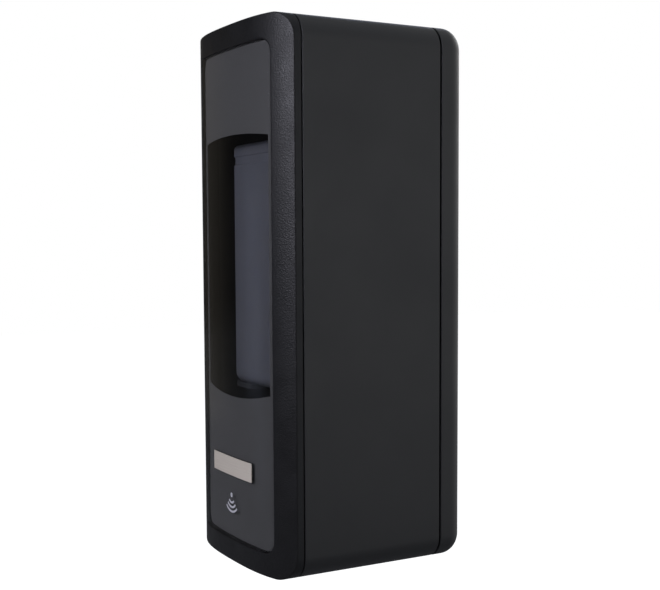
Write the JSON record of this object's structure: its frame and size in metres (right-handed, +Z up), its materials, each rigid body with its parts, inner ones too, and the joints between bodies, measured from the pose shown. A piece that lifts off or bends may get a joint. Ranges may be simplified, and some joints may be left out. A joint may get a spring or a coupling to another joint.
{
  "type": "automatic soap dispenser",
  "caption": "Tall black wall-mounted touch-free soap dispenser with a smoked curved front, a window on its refill, a hinged lockable cover and a motor-driven pump.",
  "frame": {"origin": "middle of the flat back face that sits on the wall", "axes": "+Z up, -Y out of the wall towards the user, +X to the right as seen from the front"},
  "size_m": [0.114, 0.116, 0.29],
  "materials": {
    "black_abs": "fine matt moulded",
    "grained_black_abs": "leather-grain moulded",
    "smoked_acrylic": "polished, smoked",
    "dark_film": "printed film",
    "satin_aluminium": "satin",
    "grey_abs": "moulded",
    "steel": "bright",
    "acetal": "moulded, self-lubricating",
    "refill_plastic": "translucent blow-moulded",
    "pump_plastic": "moulded",
    "board": "solder mask",
    "cell_wrap": "shrink wrap",
    "lamp_lens": "clear red",
    "clear_resin": "moulded lens"
  },
  "bodies": {
    "wall_unit": {"back_plate": "black_abs", "hinge_pin_left": "steel", "hinge_pin_right": "steel", "inner_frame": "grey_abs", "frame_screw_1": "steel", "frame_screw_2": "steel", "frame_screw_3": "steel", "frame_screw_4": "steel", "bottle_shelf": "grey_abs", "shelf_screw_left": "steel", "shelf_screw_right": "steel", "gearbox_base": "grey_abs", "gearbox_cover": "grey_abs", "gearbox_screw_1": "steel", "gearbox_screw_2": "steel", "gearbox_screw_3": "steel", "gearbox_screw_4": "steel", "gear_axle_1": "steel", "gear_axle_2": "steel", "output_axle": "steel", "motor": "steel", "sensor_housing": "black_abs", "sensor_window": "smoked_acrylic", "ir_emitter": "clear_resin", "ir_receiver": "dark_film", "battery_box": "grey_abs", "battery_1": "cell_wrap", "battery_2": "cell_wrap", "battery_3": "cell_wrap", "battery_4": "cell_wrap", "battery_contact_low": "steel", "battery_contact_top": "steel", "circuit_board": "board", "board_cover": "grey_abs", "status_lamp": "lamp_lens", "lock_keeper": "grey_abs"},
    "cover": {"cover_shell": "black_abs", "front_bezel": "grained_black_abs", "front_panel": "smoked_acrylic", "panel_mask": "dark_film", "name_plate": "satin_aluminium", "lock_barrel": "steel", "lock_nut": "steel"},
    "lock": {"lock_plug": "steel", "lock_cam": "steel"},
    "refill": {"soap_bottle": "refill_plastic", "bottle_collar": "pump_plastic", "pump_body": "pump_plastic", "pump_spring": "steel"},
    "nozzle": {"pump_nozzle": "pump_plastic"},
    "lifter": {"pump_lifter": "acetal"},
    "output_gear_body": {"output_gear": "acetal"},
    "gear_2_body": {"gear_2": "acetal"},
    "gear_1_body": {"gear_1": "acetal"},
    "pinion_body": {"motor_pinion": "steel"},
    "battery_door_body": {"battery_door": "grey_abs"},
    "power_switch_body": {"power_switch": "pump_plastic"},
    "dose_switch_body": {"dose_switch": "pump_plastic"}
  },
  "joints": [
    {"name": "cover_hinge", "type": "hinge", "parent": "wall_unit", "child": "cover", "pos_m": [0, -0.0143, -0.1427], "axis": [1, 0, 0], "range_deg": [0, 90]},
    {"name": "lock_turn", "type": "hinge", "parent": "cover", "child": "lock", "pos_m": [0, -0.04, 0.133], "axis": [0, 0, -1], "range_deg": [0, 90]},
    {"name": "output_turn", "type": "hinge", "parent": "wall_unit", "child": "output_gear_body", "pos_m": [-0.005, -0.03, -0.1], "axis": [0, 1, 0], "range_deg": [0, 57.3]},
    {"name": "gear_2_turn", "type": "hinge", "parent": "wall_unit", "child": "gear_2_body", "pos_m": [0.01163, -0.03, -0.0904], "axis": [0, 1, 0], "range_deg": [-172.89, 0]},
    {"name": "gear_1_turn", "type": "hinge", "parent": "wall_unit", "child": "gear_1_body", "pos_m": [0.02516, -0.03, -0.08547], "axis": [0, 1, 0], "range_deg": [0, 516.66]},
    {"name": "pinion_turn", "type": "hinge", "parent": "wall_unit", "child": "pinion_body", "pos_m": [0.03141, -0.03, -0.0963], "axis": [0, 1, 0], "range_deg": [-2063.65, 0]},
    {"name": "lifter_slide", "type": "slide", "parent": "wall_unit", "child": "lifter", "axis": [0, 0, 1], "range_m": [0, 0.0071]},
    {"name": "refill_lift", "type": "slide", "parent": "wall_unit", "child": "refill", "axis": [0, 0, 1], "range_m": [0, 0.02]},
    {"name": "nozzle_stroke", "type": "slide", "parent": "refill", "child": "nozzle", "axis": [0, 0, 1], "range_m": [0, 0.0071], "deforming": ["pump_spring"]},
    {"name": "battery_door_slide", "type": "slide", "parent": "wall_unit", "child": "battery_door_body", "axis": [0, 0, 1], "range_m": [0, 0.022]},
    {"name": "power_switch_slide", "type": "slide", "parent": "wall_unit", "child": "power_switch_body", "axis": [1, 0, 0], "range_m": [0, 0.0025]},
    {"name": "dose_switch_slide", "type": "slide", "parent": "wall_unit", "child": "dose_switch_body", "axis": [1, 0, 0], "range_m": [0, 0.005]}
  ],
  "couplings": [
    {"joint": "gear_2_turn", "follows": "output_turn", "ratio": -3},
    {"joint": "gear_1_turn", "follows": "output_turn", "ratio": 9},
    {"joint": "pinion_turn", "follows": "output_turn", "ratio": -36},
    {"joint": "lifter_slide", "follows": "output_turn", "m_per_rad": 0.007},
    {"joint": "nozzle_stroke", "follows": "output_turn", "m_per_rad": 0.007}
  ]
}
